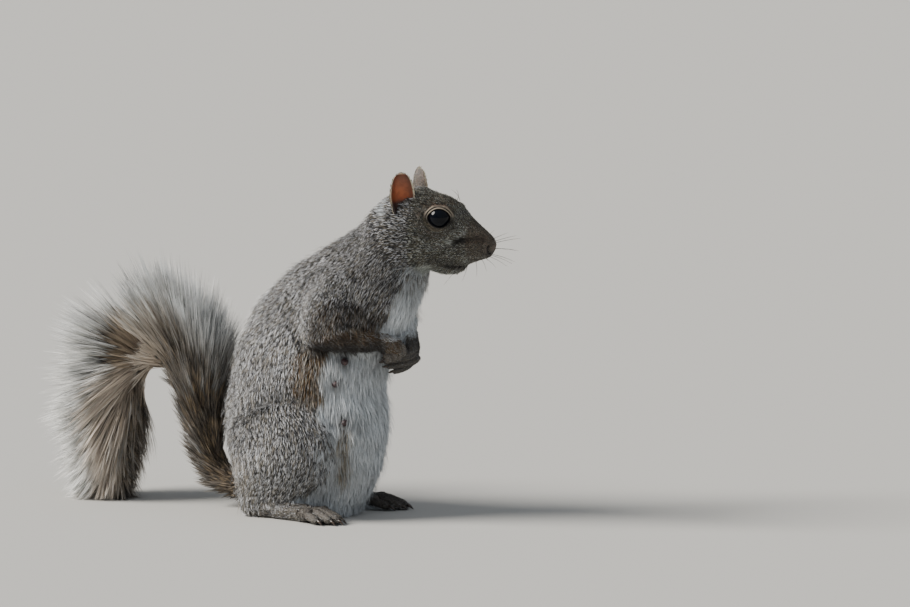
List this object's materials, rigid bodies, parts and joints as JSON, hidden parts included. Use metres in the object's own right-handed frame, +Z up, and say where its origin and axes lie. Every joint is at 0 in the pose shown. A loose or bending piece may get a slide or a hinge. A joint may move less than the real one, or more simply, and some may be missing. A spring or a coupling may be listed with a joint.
{
  "type": "grey squirrel, museum model",
  "caption": "Life-size still model of a grey squirrel sitting up on its haunches, forepaws together at the chest, tail arched behind its back.",
  "frame": {"origin": "on the floor, below the middle of the bounding box", "axes": "+Z up, +X the way the animal faces, +Y its left side"},
  "size_m": [0.2664, 0.0927, 0.1946],
  "materials": {
    "grey_fur": "soft matte fur, grey ticked with black and white",
    "pale_fur": "soft matte white fur",
    "tail_fur": "long coarse hair, brown and black with white tips",
    "paw_fur": "very short dense fur",
    "ear_skin": "thin skin with very short fur",
    "eye": "wet, very dark brown"
  },
  "bodies": {
    "root": {"head": "grey_fur", "neck": "grey_fur", "trunk": "pale_fur", "ear_left": "ear_skin", "ear_right": "ear_skin", "eye_left": "eye", "eye_right": "eye", "upper_arm_left": "grey_fur", "upper_arm_right": "grey_fur", "forearm_left": "grey_fur", "forearm_right": "grey_fur", "forepaw_left": "paw_fur", "forepaw_right": "paw_fur", "haunch_left": "grey_fur", "haunch_right": "grey_fur", "hind_foot_left": "paw_fur", "hind_foot_right": "paw_fur", "tail_1": "tail_fur", "tail_2": "tail_fur", "tail_3": "tail_fur", "tail_4": "tail_fur", "tail_5": "tail_fur"}
  },
  "joints": []
}
